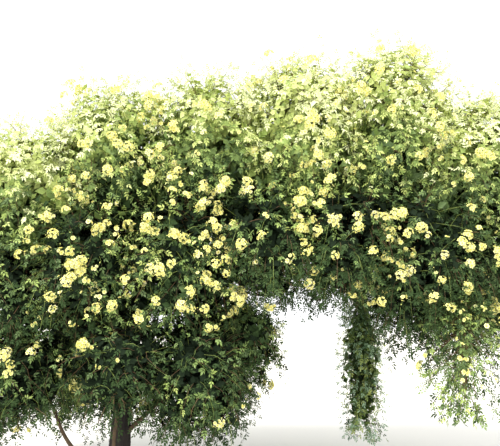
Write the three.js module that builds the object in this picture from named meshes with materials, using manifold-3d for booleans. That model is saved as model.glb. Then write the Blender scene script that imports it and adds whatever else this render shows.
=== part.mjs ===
// A climbing rose in full bloom: a short trunk, boughs that rise from it and run to the right high
// over a walkway, and masses of leafy, flowering shoots that hang from them on every side.
// Millimetres, +Z up, the front faces -Y. The origin is the middle of the flat cut under the trunk.

import * as THREE from 'three';
import Module from 'manifold-3d';

const kernel = await Module();
kernel.setup();

const vec = (x, y, z) => new THREE.Vector3(x, y, z);
const UP = vec(0, 0, 1);

// Clearances
const SEAM = 0.3; // between two limbs, and between a limb's tip and the stem that goes on from it
const LIMB_GAP = 8; // between a limb and the core, twigs and leaves beside it
const SPACE_GAP = 10; // between the spaces of two neighbouring masses
const GROUND_GAP = 90; // between the ground and the lowest leaves
const SPACE_FULLNESS = 2.8; // the exponent of a space's skin: 2 would be a plain ellipsoid
const SKIN_SHARE = 0.62; // a space that a neighbour cuts off before this share of its skin is inside

// Trunk
const TRUNK_HEIGHT = 1500;
const TRUNK_TOP = vec(60, 120, TRUNK_HEIGHT); // the trunk leans this far from its foot
const TRUNK_RADII = { waist: 98, top: 74 };
const FLARE = { extra: 62, height: 210, lobes: 5, lobeDepth: 0.2 };
const TRUNK_SIDES = 15;
const TRUNK_RINGS = 9;

// Boughs and canes
const BOUGH_SIDES = 5;
const BOUGH_STEP = 260; // length of one straight stretch of a curved limb
const ENTRY = 0.88; // where a bough ends, as a share of the way from a mass's middle to its edge

// Shoots. Each grows from the stem toward the skin of its space and ends in a spray: one thick
// leaf-shaped blade that stands for the leafy end of the shoot and swings over and down.
const SEED = 41;
const STEM_TAPER = 0.55;
const TWIG_RADIUS = 15;
const SPRAY = { width: 0.64, thickness: 0.16, sunk: 70, widest: 0.46, reach: 0.97 };
const LYING = { root: 0.62, swing: 0.42 }; // a shoot that lies over the core, from where it comes out
const STANDING = { root: 0.76, swing: 0.2 }; // a shoot that stands out on a bare twig
const STANDING_EVERY = 3; // one shoot in so many stands out
const SPRAY_TRIES = [1, 0.86, 0.72]; // a spray that doesn't fit is tried smaller, then left out
const GOLDEN_ANGLE = Math.PI * (3 - Math.sqrt(5));
const CORE_SHARE = { skin: 0.66, inner: 0.76 }; // size of a dense mass's core beside its space
const BLOSSOM_RADIUS = 78; // a flower cluster that stands out of the leaves

const BARK = { color: 0x5a4638, roughness: 0.9 };
const YOUNG_BARK = { color: 0x6d6044, roughness: 0.85 };

// Masses of foliage: the middle and the half sizes of each one's space, how it grows, how many shoots
// are tried, how many flower clusters stand out, and its colour. A dense mass has a core, a hanging one
// a stem that runs straight down through it.
const MASSES = [
  mass('crown_left', [-1080, 420, 3000], [800, 940, 860], 'dense', 29, 3, 0x8fa648),
  mass('crown_left_middle', [-170, 360, 3330], [760, 940, 900], 'dense', 29, 3, 0x9db350),
  mass('crown_middle', [840, 350, 3420], [780, 940, 930], 'dense', 29, 3, 0x9fb54f),
  mass('crown_over_arch', [1850, 350, 3520], [780, 940, 1000], 'dense', 29, 3, 0xa3b852),
  mass('crown_peak', [2800, 370, 3640], [720, 940, 1090], 'dense', 30, 3, 0xa6ba54),
  mass('crown_right', [3700, 450, 3200], [850, 940, 980], 'dense', 30, 3, 0x98ae4e),
  mass('back_crown_left', [-1000, 1540, 2780], [850, 830, 900], 'dense', 20, 2, 0x839a45),
  mass('back_crown_left_middle', [120, 1580, 3030], [800, 800, 960], 'dense', 19, 2, 0x8ba24a),
  mass('back_crown_middle', [1280, 1580, 3080], [800, 800, 1100], 'dense', 19, 2, 0x8ba24a),
  mass('back_crown_arch', [2440, 1580, 3130], [800, 800, 1180], 'dense', 19, 2, 0x8fa64b),
  mass('back_crown_right', [3600, 1540, 2850], [880, 820, 1160], 'dense', 22, 2, 0x8aa048),
  mass('side_left', [-1150, 200, 1950], [730, 840, 850], 'dense', 27, 2, 0x6f8a40),
  mass('front_left', [-320, -60, 2180], [680, 600, 850], 'dense', 24, 3, 0x7b9443),
  mass('front_middle', [560, -60, 2250], [680, 600, 880], 'dense', 24, 3, 0x7b9443),
  mass('front_arch_left', [1420, -30, 2500], [660, 620, 700], 'dense', 24, 3, 0x7f9845),
  mass('front_arch_right', [2230, -30, 2500], [620, 620, 680], 'dense', 24, 3, 0x7f9845),
  mass('front_right', [3050, 0, 2290], [700, 640, 890], 'dense', 24, 3, 0x7c9544),
  mass('side_right', [3930, 350, 2250], [620, 860, 720], 'dense', 24, 2, 0x728c41),
  mass('hem_left', [-1080, 150, 1130], [740, 720, 520], 'dense', 20, 2, 0x5f7a3a),
  mass('hem_front', [50, -370, 1230], [600, 290, 500], 'dense', 17, 2, 0x62803c),
  mass('hem_middle', [740, 60, 1150], [600, 700, 740], 'dense', 20, 2, 0x5c7638),
  mass('arch_side', [1240, 480, 1480], [430, 520, 420], 'dense', 19, 0, 0x7a8b45),
  mass('back_left', [-520, 1480, 1350], [1200, 800, 930], 'dense', 20, 1, 0x56703a),
  mass('back_middle', [880, 1530, 1450], [640, 760, 1050], 'dense', 17, 1, 0x56703a),
  mass('pillar', [2690, 1780, 1090], [330, 330, 930], 'hanging dense', 20, 0, 0x5f7f58),
  mass('curtain', [3230, -380, 1240], [430, 240, 520], 'hanging', 14, 2, 0x6d8a40),
];

// Limbs: the limb each one springs from and how far along it, the point or the mass it runs to, its
// radii at both ends, and how far its middle bows out of the straight line.
const LIMBS = [
  limb('bough_main', 'trunk', 1, [950, 640, 2230], [66, 47], [-60, 60, 160]),
  limb('bough_arch', 'bough_main', 1, [2350, 720, 2290], [47, 37], [0, 30, 110]),
  limb('bough_far', 'bough_arch', 1, [3230, 710, 2320], [37, 28], [0, 10, 60]),
  limb('bough_left', 'trunk', 0.8, 'side_left', [40, 24], [0, 60, 120]),
  limb('bough_back_left', 'trunk', 0.62, 'back_left', [40, 24], [60, 0, 60]),
  limb('bough_back_middle', 'trunk', 0.7, 'back_middle', [38, 24], [0, 0, 80]),
  limb('bough_front_middle', 'trunk', 0.9, 'front_middle', [36, 22], [60, 0, -40]),
  limb('bough_front_left', 'trunk', 0.86, 'front_left', [36, 22], [-30, 0, 20]),
  limb('bough_rise_left', 'trunk', 0.93, [-330, 720, 2480], [46, 36], [-40, 120, 40]),
  limb('bough_crown_left', 'bough_rise_left', 0.72, 'crown_left', [27, 18], [60, 60, 0]),
  limb('bough_crown_left_middle', 'bough_rise_left', 1, 'crown_left_middle', [34, 22], [0, 30, 20]),
  limb('bough_back_crown_left', 'bough_rise_left', 0.86, 'back_crown_left', [26, 18], [0, 0, 60]),
  limb('bough_crown_middle', 'bough_main', 0.78, 'crown_middle', [30, 20], [0, 80, 0]),
  limb('bough_back_crown_left_middle', 'bough_main', 0.62, 'back_crown_left_middle', [28, 20], [0, 0, 60]),
  limb('bough_back_crown_middle', 'bough_arch', 0.14, 'back_crown_middle', [28, 20], [-40, 0, 60]),
  limb('bough_arch_side', 'bough_main', 0.84, 'arch_side', [24, 16], [60, -30, 60]),
  limb('bough_front_arch_left', 'bough_arch', 0.3, 'front_arch_left', [26, 18], [0, 0, 60]),
  limb('bough_crown_over_arch', 'bough_arch', 0.5, 'crown_over_arch', [30, 20], [30, 40, 0]),
  limb('bough_back_crown_arch', 'bough_arch', 0.82, 'back_crown_arch', [28, 20], [0, 0, -30]),
  limb('bough_front_arch_right', 'bough_arch', 0.86, 'front_arch_right', [24, 17], [0, 0, 60]),
  limb('bough_pillar', 'bough_arch', 0.93, 'pillar', [24, 18], [40, 120, 60]),
  limb('bough_crown_peak', 'bough_far', 0.2, 'crown_peak', [27, 18], [30, 40, 0]),
  limb('bough_front_right', 'bough_far', 0.6, 'front_right', [24, 17], [0, 0, 60]),
  limb('bough_curtain', 'bough_far', 0.78, 'curtain', [20, 14], [40, -160, -250]),
  limb('bough_back_crown_right', 'bough_far', 0.72, 'back_crown_right', [25, 18], [0, 0, -30]),
  limb('bough_crown_right', 'bough_far', 0.9, 'crown_right', [24, 17], [0, 30, 0]),
  limb('bough_side_right', 'bough_far', 1, 'side_right', [27, 18], [0, 0, 0]),
  limb('cane_middle', 'trunk', 0.34, 'hem_middle', [30, 18], [40, -20, 30]),
  limb('cane_left', 'trunk', 0.07, 'hem_left', [27, 17], [-150, -30, -130]),
  limb('cane_front', 'trunk', 0.1, 'hem_front', [24, 16], [-60, -90, -110]),
];

function mass(name, centre, radii, habit, shoots, blossoms, color) {
  const dense = habit.includes('dense');
  const hanging = habit.includes('hanging');
  return { name, centre: vec(...centre), radii: vec(...radii), dense, hanging, shoots, blossoms, color };
}

function limb(name, from, at, to, radii, bow) {
  return { name, from, at, to, radii, bow: vec(...bow) };
}

// Numbers from 0 to 1 that are the same in every run
function seeded(seed) {
  let state = seed >>> 0;
  return () => {
    state = (state + 0x6d2b79f5) >>> 0;
    let mixed = Math.imul(state ^ (state >>> 15), state | 1);
    mixed ^= mixed + Math.imul(mixed ^ (mixed >>> 7), mixed | 61);
    return ((mixed ^ (mixed >>> 14)) >>> 0) / 4294967296;
  };
}

// Spaces. Each is an ellipsoid filled out toward its corners, parted from its neighbours by planes that
// share the way between two middles in the ratio of their radii. It is convex, so what joins two points
// of it stays in it.

// How far out a point lies, as a share of the way to the ellipsoid's skin
function shareOut(one, offset) {
  const scaled = offset.clone().divide(one.radii).toArray();
  const sum = scaled.reduce((total, value) => total + Math.abs(value) ** SPACE_FULLNESS, 0);
  return sum ** (1 / SPACE_FULLNESS);
}

function radiusAlong(one, direction) {
  return 1 / shareOut(one, direction);
}

function partingPlanes(one) {
  return MASSES.filter((other) => other !== one).map((other) => {
    const normal = other.centre.clone().sub(one.centre);
    const distance = normal.length();
    normal.divideScalar(distance);
    const own = radiusAlong(one, normal);
    const share = own / (own + radiusAlong(other, normal));
    return { normal, offset: normal.dot(one.centre) + distance * share - SPACE_GAP / 2 };
  });
}

function inSpace(one, point) {
  if (point.z < GROUND_GAP || shareOut(one, point.clone().sub(one.centre)) > 1) return false;
  return one.planes.every((plane) => plane.normal.dot(point) <= plane.offset);
}

// The way from a mass's middle to the edge of its space, and whether that edge is at the crown's skin
function reachOf(one, direction) {
  const skin = radiusAlong(one, direction);
  let nearest = skin;
  for (const plane of one.planes) {
    const facing = plane.normal.dot(direction);
    if (facing <= 0) continue;
    nearest = Math.min(nearest, (plane.offset - plane.normal.dot(one.centre)) / facing);
  }
  return { length: nearest, isSkin: nearest >= skin * SKIN_SHARE };
}

// Closed meshes as solids

function solidOf(positions, triangles) {
  const mesh = new kernel.Mesh({
    numProp: 3,
    vertProperties: new Float32Array(positions.flatMap((p) => [p.x, p.y, p.z])),
    triVerts: new Uint32Array(triangles.flat()),
  });
  return new kernel.Manifold(mesh);
}

// A closed tube through rings of points that all have the same count, with flat ends
function ringSolid(rings) {
  const sides = rings[0].length;
  const triangles = [];
  for (let ring = 0; ring + 1 < rings.length; ring++) {
    for (let side = 0; side < sides; side++) {
      const a = ring * sides + side;
      const b = ring * sides + ((side + 1) % sides);
      triangles.push([a, b, b + sides], [a, b + sides, a + sides]);
    }
  }
  const last = (rings.length - 1) * sides;
  for (let side = 1; side + 1 < sides; side++) {
    triangles.push([0, side + 1, side], [last, last + side, last + side + 1]);
  }
  return solidOf(rings.flat(), triangles);
}

function crosswise(direction) {
  const reference = Math.abs(direction.z) > 0.8 ? vec(0, 1, 0) : UP;
  const first = vec(0, 0, 0).crossVectors(reference, direction).normalize();
  return [first, vec(0, 0, 0).crossVectors(direction, first)];
}

function ringAround(centre, [first, second], radius, sides) {
  return Array.from({ length: sides }, (_, side) => {
    const angle = (2 * Math.PI * side) / sides;
    const across = first.clone().multiplyScalar(radius * Math.cos(angle));
    return across.addScaledVector(second, radius * Math.sin(angle)).add(centre);
  });
}

// A tapering limb along a curve; extra makes it that much thicker all round and longer at both ends.
// Each ring takes its turn from the one before, so that the limb doesn't twist.
function limbSolid(curve, radii, sides, steps, extra = 0) {
  const rings = [];
  let [first] = crosswise(curve.getTangent(0));
  for (let step = 0; step <= steps; step++) {
    const t = step / steps;
    const heading = curve.getTangent(t);
    const past = step === 0 ? -extra : step === steps ? extra : 0;
    const centre = curve.getPoint(t).addScaledVector(heading, past);
    first = first.clone().projectOnPlane(heading).normalize();
    const frame = [first, vec(0, 0, 0).crossVectors(heading, first)];
    rings.push(ringAround(centre, frame, THREE.MathUtils.lerp(radii[0], radii[1], t) + extra, sides));
  }
  return ringSolid(rings);
}

// The trunk: level rings, lobed toward the foot, where it flares into its roots
function trunkRadius(height) {
  const taper = THREE.MathUtils.lerp(TRUNK_RADII.waist, TRUNK_RADII.top, height / TRUNK_HEIGHT);
  return taper + FLARE.extra * Math.exp(-height / FLARE.height);
}

function trunkPoint(t) {
  return vec(TRUNK_TOP.x * t * t, TRUNK_TOP.y * t * t, TRUNK_HEIGHT * t);
}

function trunkSolid(extra = 0) {
  const rings = [];
  for (let ring = 0; ring <= TRUNK_RINGS; ring++) {
    const centre = trunkPoint((ring / TRUNK_RINGS) ** 1.5);
    const past = ring === 0 ? -extra : ring === TRUNK_RINGS ? extra : 0;
    const lobes = FLARE.lobeDepth * Math.exp(-centre.z / (2 * FLARE.height));
    rings.push(
      Array.from({ length: TRUNK_SIDES }, (_, side) => {
        const angle = (2 * Math.PI * side) / TRUNK_SIDES;
        const radius = trunkRadius(centre.z) * (1 + lobes * Math.cos(FLARE.lobes * angle)) + extra;
        const around = vec(radius * Math.cos(angle), radius * Math.sin(angle), past);
        return around.add(centre);
      }),
    );
  }
  return ringSolid(rings);
}

// The shell that holds the most. What a cut leaves loose, and a hollow that fusing seals, are dropped.
// Triangles belong to one shell where they share an edge.
function largestShell(solid) {
  const mesh = solid.getMesh();
  const merged = Array.from({ length: mesh.vertProperties.length / mesh.numProp }, (_, i) => i);
  mesh.mergeFromVert.forEach((from, i) => (merged[from] = mesh.mergeToVert[i]));
  const corners = Array.from(mesh.triVerts, (i) => merged[i]);
  const parent = Array.from({ length: corners.length / 3 }, (_, i) => i);
  const rootOf = (i) => {
    while (parent[i] !== i) i = parent[i] = parent[parent[i]];
    return i;
  };
  const edgeOwner = new Map();
  corners.forEach((corner, i) => {
    const triangle = Math.floor(i / 3);
    const next = corners[3 * triangle + ((i + 1) % 3)];
    const edge = `${Math.min(corner, next)},${Math.max(corner, next)}`;
    if (edgeOwner.has(edge)) parent[rootOf(triangle)] = rootOf(edgeOwner.get(edge));
    edgeOwner.set(edge, triangle);
  });
  const pointOf = (i) => vec(...mesh.vertProperties.slice(mesh.numProp * i, mesh.numProp * i + 3));
  const shells = new Map();
  for (let triangle = 0; triangle < parent.length; triangle++) {
    const [a, b, c] = corners.slice(3 * triangle, 3 * triangle + 3).map(pointOf);
    const shell = shells.get(rootOf(triangle)) ?? { volume: 0, points: [] };
    shell.volume += a.dot(vec(0, 0, 0).crossVectors(b, c)) / 6;
    shell.points.push(a, b, c);
    shells.set(rootOf(triangle), shell);
  }
  return [...shells.values()].reduce((best, shell) => (shell.volume > best.volume ? shell : best));
}

function meshOf(name, solid, look) {
  const geometry = new THREE.BufferGeometry().setFromPoints(largestShell(solid).points);
  geometry.computeVertexNormals();
  const material = new THREE.MeshStandardMaterial({ metalness: 0, flatShading: true, ...look });
  const mesh = new THREE.Mesh(geometry, material);
  mesh.name = name;
  return mesh;
}

// Limbs, each grown from one that comes before it and cut clear of all of those

function limbEnd(one, start) {
  if (Array.isArray(one.to)) return vec(...one.to);
  const target = MASSES.find((each) => each.name === one.to);
  const toward = target.hanging ? UP.clone() : start.clone().sub(target.centre).normalize();
  return target.centre.clone().addScaledVector(toward, reachOf(target, toward).length * ENTRY);
}

function growLimbs() {
  const grown = new Map();
  const points = Array.from({ length: 11 }, (_, i) => trunkPoint(i / 10));
  const trunkCurve = new THREE.CatmullRomCurve3(points);
  grown.set('trunk', {
    curve: trunkCurve,
    radii: [TRUNK_RADII.waist + FLARE.extra, TRUNK_RADII.top],
    solid: trunkSolid(),
    swollen: trunkSolid(SEAM),
    sleeve: trunkSolid(LIMB_GAP),
  });
  for (const one of LIMBS) {
    const carrier = grown.get(one.from);
    const fromTip = one.at === 1;
    const start = carrier.curve.getPoint(one.at);
    const heading = carrier.curve.getTangent(one.at);
    const end = limbEnd(one, start);
    const middle = start.clone().add(end).multiplyScalar(0.5).add(one.bow);
    const length = start.distanceTo(end);
    const curve = fromTip
      ? new THREE.CubicBezierCurve3(
          start,
          start.clone().addScaledVector(heading, length * 0.25),
          middle.clone().lerp(end, 0.3),
          end,
        )
      : new THREE.QuadraticBezierCurve3(start, middle, end);
    const steps = Math.max(3, Math.round(length / BOUGH_STEP));
    const whole = limbSolid(curve, one.radii, BOUGH_SIDES, steps);
    const solid = [...grown.values()].reduce((rest, { swollen }) => rest.subtract(swollen), whole);
    grown.set(one.name, {
      curve,
      radii: one.radii,
      solid,
      swollen: limbSolid(curve, one.radii, BOUGH_SIDES, steps, SEAM),
      sleeve: limbSolid(curve, one.radii, BOUGH_SIDES, steps, LIMB_GAP),
      to: one.to,
    });
  }
  return grown;
}

// Sprays and twigs

// A spray's blade has a keel from root to tip and a flat upper side from left to right
function sprayFrame(root, tip, face) {
  const axis = tip.clone().sub(root).normalize();
  const side = vec(0, 0, 0).crossVectors(axis, face).normalize();
  const normal = vec(0, 0, 0).crossVectors(side, axis).normalize();
  const base = root.clone().addScaledVector(axis, -SPRAY.sunk);
  const length = base.distanceTo(tip);
  const middle = base.clone().addScaledVector(axis, length * SPRAY.widest);
  const halfWidth = (length * SPRAY.width) / 2;
  const halfThickness = (length * SPRAY.thickness) / 2;
  const upper = middle.clone().addScaledVector(normal, halfThickness);
  const keel = base.clone().addScaledVector(normal, -halfThickness);
  const corners = [
    keel,
    upper.clone().addScaledVector(side, halfWidth),
    keel.clone().addScaledVector(axis, length),
    upper.clone().addScaledVector(side, -halfWidth),
  ];
  return { axis, side, normal, middle, length, halfWidth, halfThickness, corners };
}

function spraySolid(spray) {
  return solidOf(spray.corners, [[0, 1, 3], [1, 2, 3], [0, 2, 1], [0, 3, 2]]);
}

function touches(solid, sleeves) {
  return sleeves.intersect(solid).getMesh().triVerts.length > 0;
}

// A three-sided twig that runs out to a point
function twigSolid(start, end, radius) {
  const direction = end.clone().sub(start).normalize();
  const base = ringAround(start, crosswise(direction), radius, 3);
  return solidOf([...base, end], [[0, 2, 1], [0, 1, 3], [1, 2, 3], [2, 0, 3]]);
}

// A cluster of flowers: a domed lump with eight faces
function blossomSolid(centre, radius) {
  const corners = [vec(1, 0, 0), vec(0, 1, 0), vec(-1, 0, 0), vec(0, -1, 0), vec(0, 0, 1), vec(0, 0, -1)];
  const faces = [0, 1, 2, 3].flatMap((k) => [[k, (k + 1) % 4, 4], [(k + 1) % 4, k, 5]]);
  return solidOf(corners.map((corner) => corner.multiplyScalar(radius).add(centre)), faces);
}

// The core: the mass's own space made smaller, with a lumpy skin
function coreSolid(one, sleeves, random) {
  const ball = new THREE.IcosahedronGeometry(1, 1);
  const positions = ball.getAttribute('position');
  const corners = [];
  const triangles = [];
  const seen = new Map();
  for (let i = 0; i < positions.count; i++) {
    const direction = vec(0, 0, 0).fromBufferAttribute(positions, i).normalize();
    const key = direction.toArray().map((value) => value.toFixed(3)).join();
    if (!seen.has(key)) {
      seen.set(key, corners.length);
      const reach = reachOf(one, direction);
      const share = (reach.isSkin ? CORE_SHARE.skin : CORE_SHARE.inner) * (0.92 + 0.16 * random());
      corners.push(one.centre.clone().addScaledVector(direction, reach.length * share));
    }
    if (i % 3 === 0) triangles.push([]);
    triangles[triangles.length - 1].push(seen.get(key));
  }
  return solidOf(corners, triangles).subtract(sleeves);
}

// The stem that goes on from the bough's tip: to the mass's middle, or down through a hanging mass
function stemCurve(one, carrier) {
  const heading = carrier.curve.getTangent(1);
  const start = carrier.curve.getPoint(1).addScaledVector(heading, SEAM);
  const down = vec(0, 0, -1);
  const foot = one.centre.clone().addScaledVector(down, reachOf(one, down).length * 0.8);
  const end = one.hanging ? foot : one.centre.clone();
  const turn = start.clone().addScaledVector(heading, start.distanceTo(end) * 0.3);
  return new THREE.QuadraticBezierCurve3(start, turn, end);
}

function twigDirection(index, count, turn, random) {
  const height = 1 - (2 * (index + 0.5)) / count;
  const angle = index * GOLDEN_ANGLE + turn;
  const level = Math.sqrt(1 - height * height);
  const direction = vec(level * Math.cos(angle), level * Math.sin(angle), height);
  const jitter = vec(random() - 0.5, random() - 0.5, random() - 0.5).multiplyScalar(0.3);
  return direction.add(jitter).normalize();
}

// The way that a shoot swings: down over the sides of the crown, and any way on its top and underside
function swingAside(direction, random) {
  const [first, second] = crosswise(direction);
  const turn = 2 * Math.PI * random();
  const loose = first.multiplyScalar(Math.cos(turn)).addScaledVector(second, Math.sin(turn));
  const down = vec(0, 0, -1).addScaledVector(direction, direction.z);
  return loose.addScaledVector(down, 1.2).projectOnPlane(direction).normalize();
}

function growShoot(one, index, stem, sleeves, random) {
  const direction = twigDirection(index, one.shoots, one.turn, random);
  const aside = swingAside(direction, random);
  const along = one.hanging ? 0.5 - 0.42 * direction.z : 0.9;
  const roll = (random() - 0.5) * 0.7;
  const vary = 0.85 + 0.3 * random();
  const standing = !one.dense || index % STANDING_EVERY === 0;
  const kind = standing ? STANDING : LYING;
  const angle = kind.swing * vary;
  const heading = direction.clone().multiplyScalar(Math.cos(angle)).addScaledVector(aside, Math.sin(angle));
  const reach = reachOf(one, direction);
  const tipReach = reachOf(one, heading);
  if (!reach.isSkin || !tipReach.isSkin) return null;
  const start = stem.getPoint(along);
  const root = one.centre.clone().addScaledVector(direction, reach.length * kind.root);
  const tip = one.centre.clone().addScaledVector(heading, tipReach.length * SPRAY.reach);
  const longest = tip.distanceTo(root);
  const axis = tip.sub(root).normalize();
  const twigEnd = root.clone().addScaledVector(axis, SPRAY.sunk);
  const twig = standing ? twigSolid(start, twigEnd, TWIG_RADIUS) : null;
  if (twig && touches(twig, sleeves)) return null;
  const face = (standing ? aside : heading).clone().applyAxisAngle(axis, roll);
  for (const share of SPRAY_TRIES) {
    const spray = sprayFrame(root, root.clone().addScaledVector(axis, longest * share), face);
    const solid = spraySolid(spray);
    if (!spray.corners.every((corner) => inSpace(one, corner)) || touches(solid, sleeves)) continue;
    return { spray, solid: twig ? solid.add(twig) : solid };
  }
  return null;
}

function growMass(one, index, carrier, sleeves) {
  const random = seeded(SEED + 101 * index);
  const stem = stemCurve(one, carrier);
  const stemRadii = [carrier.radii[1], carrier.radii[1] * STEM_TAPER];
  let solid = limbSolid(stem, stemRadii, 3, one.dense ? 2 : 4);
  if (one.dense) solid = solid.add(coreSolid(one, sleeves, random));
  const sprays = [];
  for (let i = 0; i < one.shoots; i++) {
    const shoot = growShoot(one, i, stem, sleeves, random);
    if (!shoot) continue;
    solid = solid.add(shoot.solid);
    sprays.push(shoot.spray);
  }
  const step = Math.floor(sprays.length / (one.blossoms + 1));
  for (let i = 1; i <= one.blossoms; i++) {
    const spray = sprays[i * step];
    const centre = spray.middle.clone().addScaledVector(spray.normal, spray.halfThickness);
    const blossom = blossomSolid(centre, BLOSSOM_RADIUS);
    const fits = inSpace(one, centre.clone().addScaledVector(spray.normal, BLOSSOM_RADIUS));
    if (fits && !touches(blossom, sleeves)) solid = solid.add(blossom);
  }
  return solid;
}

MASSES.forEach((one, index) => {
  one.planes = partingPlanes(one);
  one.turn = index;
});

const limbs = growLimbs();
const sleeves = [...limbs.values()].map(({ sleeve }) => sleeve).reduce((all, each) => all.add(each));
const rose = new THREE.Group();
rose.name = 'climbing_rose';

for (const [name, { solid }] of limbs) {
  rose.add(meshOf(name, solid, name === 'trunk' ? BARK : YOUNG_BARK));
}
MASSES.forEach((one, index) => {
  const carrier = [...limbs.values()].find(({ to }) => to === one.name);
  const solid = growMass(one, index, carrier, sleeves);
  rose.add(meshOf(one.name, solid, { color: one.color, roughness: 0.75 }));
});

export default rose;
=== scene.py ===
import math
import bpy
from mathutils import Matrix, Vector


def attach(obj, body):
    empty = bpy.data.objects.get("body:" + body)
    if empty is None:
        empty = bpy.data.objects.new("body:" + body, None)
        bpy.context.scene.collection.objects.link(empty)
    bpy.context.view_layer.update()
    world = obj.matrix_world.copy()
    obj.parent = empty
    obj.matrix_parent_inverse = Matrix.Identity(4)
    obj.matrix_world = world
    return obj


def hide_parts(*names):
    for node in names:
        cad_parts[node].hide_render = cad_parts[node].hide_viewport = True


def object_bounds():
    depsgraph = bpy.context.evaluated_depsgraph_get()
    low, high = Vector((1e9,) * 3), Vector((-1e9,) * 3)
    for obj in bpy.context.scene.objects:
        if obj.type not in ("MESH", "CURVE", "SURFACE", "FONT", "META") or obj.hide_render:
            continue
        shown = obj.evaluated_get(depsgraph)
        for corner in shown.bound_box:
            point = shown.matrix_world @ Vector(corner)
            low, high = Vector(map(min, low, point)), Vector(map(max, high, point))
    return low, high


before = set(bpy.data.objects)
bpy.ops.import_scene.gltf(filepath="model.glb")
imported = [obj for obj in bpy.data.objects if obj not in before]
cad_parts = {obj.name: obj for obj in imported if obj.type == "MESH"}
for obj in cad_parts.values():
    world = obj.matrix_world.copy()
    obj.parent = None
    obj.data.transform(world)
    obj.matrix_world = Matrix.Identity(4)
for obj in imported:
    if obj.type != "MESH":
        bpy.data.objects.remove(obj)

# A climbing rose in full bloom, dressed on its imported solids: bark with relief on the trunk and the
# boughs, and in each mass of foliage the twigs, leaves and flower clusters that grow on from them.
# Metres, +Z up, the front faces -Y. The origin is the middle of the flat cut under the trunk.

from types import SimpleNamespace as Values

import bpy
import numpy as np

cad_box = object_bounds()
BOX_FOOT, BOX_TOP = np.array(cad_box)
UP = np.array((0.0, 0.0, 1.0))
DOWN = -UP
THREE_TURNS = math.tau * np.arange(3) / 3
WHOLE_TURN = 6.28  # rounded, for turns drawn at random

# Spaces and growth, as the solids were made
SEAM = 0.0003
SPACE_GAP = 0.010
GROUND_GAP = 0.090
SPACE_FULLNESS = 2.8
SKIN_SHARE = 0.62
ENTRY = 0.88
SEED = 41
SEED_STEP = 101
CORE_DRAWS = 42
GOLDEN_ANGLE = math.pi * (3 - math.sqrt(5))
GOLDEN_SHARE = (math.sqrt(5) - 1) / 2
LYING = Values(root=0.62, swing=0.42)
STANDING = Values(root=0.76, swing=0.2)
STANDING_EVERY = 3
MAIN_JITTER = 0.3
MAIN_FORK = 0.9
SPRAY_REACH = 0.97
SWING_DOWN = 1.2
ARCH_RISE = 0.1
STEM_TAPER = 0.55
STEM_SAG = 0.8

TRUNK = Values(top=(0.06, 0.12, 1.5), waist=0.098, tip=0.074, flare=0.062, flare_height=0.21,
               lobes=5, lobe_depth=0.2)

# Finer growth. A shoot leaves the main one whose fork is nearest, somewhere within starts. Roots and tips
# are shares of the way out.
SHOOT_AREA = 0.0255  # skin that one fine shoot covers, in square metres
CROWN_SHOOT_AREA = 0.022
BACK_SHOOT_AREA = 0.042
FINE = Values(jitter=0.06, standing=0.3, swings=(0.6, 1.5), least_reach=0.4, least_tip_reach=0.55,
              roots=(0.58, 0.74), tips=(0.85, 0.99), fork=0.45, starts=(0.3, 0.6))
OVERHANG = 0.42  # how far fine shoots run on into a neighbour's space
BOX_MARGIN = 0.03  # leaves start this far inside the solids' own box

# A buried shoot ends this close to the inner share of another mass, and bears inner leaves alone
BURIED_DEPTH = 0.3
BURIED_SHARE = 0.78
BURIED_KEPT = 0.4  # share of them that grow
CROWN_BURIED_KEPT = 0.8

# Shoots at the edges of a mass: the fringe trails from its underside, the crest stands up from the crown
EDGE = Values(levels=(0.1, 1.0), roots=(0.75, 0.96), drift=(0.06, 0.06, 0), least_reach=0.75,
              fork=0.5, starts=(0.4, 0.7))
FRINGE = Values(side=-1, share=1.1, lengths=(0.13, 0.3))
# Painted shade on the leaves of the trailing fringe shoots, which hang beneath their mass
FRINGE_PAINTED_SHADE = -1.2
CREST = Values(side=1, share=1.0, lengths=(0.05, 0.15))

# Short inner shoots: the volume that one fills, in cubic metres, and how far out they end
FILLING = Values(volume=0.016, nearest=0.25, farthest=0.7, bend=0.6, fork=0.4, starts=(0.2, 0.5))

# Shoots down a hanging mass, from level 1 at its top to -1 at its foot. A larger fall crowds the top.
PILLAR = Values(area=0.016, highest=1.3, fall=1.2, rounding=0.8, root=0.45)
CURTAIN = Values(area=0.0075, highest=1.25, fall=3.2, rounding=0.4, root=0.7)
LOWEST_LEVEL = -0.92
FOOT_LEVEL = -0.97
PILLAR_DROP = 0.1
CURTAIN_DROPS = (0.1, 0.34)

# Twigs: their radii at the start and toward the tip, and how many rings each kind has
MAIN_TWIG = (0.0075, 0.0025)
FINE_TWIG = (0.0035, 0.0014)
STEPS = Values(stem=8, main=5, fine=3, hidden=2)
STALK_WIDTH = 0.0012

# Outer leaves
LEAF = Values(span=(0.4, 1.0), spacing=0.042, ground=0.06, turn=2.4, full_share=0.5,
              ahead=0.5, aside=0.75, out=0.3, drop=0.2, sway=0.18, face_up=0.5, face_out=0.85,
              tilt=0.42, scales=(0.74, 1.16), first_size=1.08, shrink=0.3, widths=(0.8, 1.1),
              folds=(0.5, 2.0), brightening=2.6, even_share=0.72, tone_spread=0.6)
BLUE_SHARE = 0.5  # of the pillar's leaves
BLUE_TONE = 2.6  # lighter ones from here up

# Inner leaves, and the span, spacing and lengths of those on each kind of shoot
INNER = Values(ground=0.09, sway=0.25, tilt=0.35, width=0.67, fold=0.5, skin=0.9,
               hanging_depth=0.4, shade=1.2, lit_shade=0.8, depth_shade=4.5, lit_relief=0.6,
               tone_spread=0.5)
ON_MAINS = Values(span=(0.12, 0.6), spacing=0.017, lengths=(0.1, 0.14))
ON_FINES = Values(span=(0.05, 0.5), spacing=0.03, lengths=(0.07, 0.1))
ON_BURIED = Values(span=(0.5, 1.0), spacing=0.03, lengths=(0.1, 0.14))
ON_FILLING = Values(span=(0.2, 1.0), spacing=0.025, lengths=(0.085, 0.12))
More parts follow.
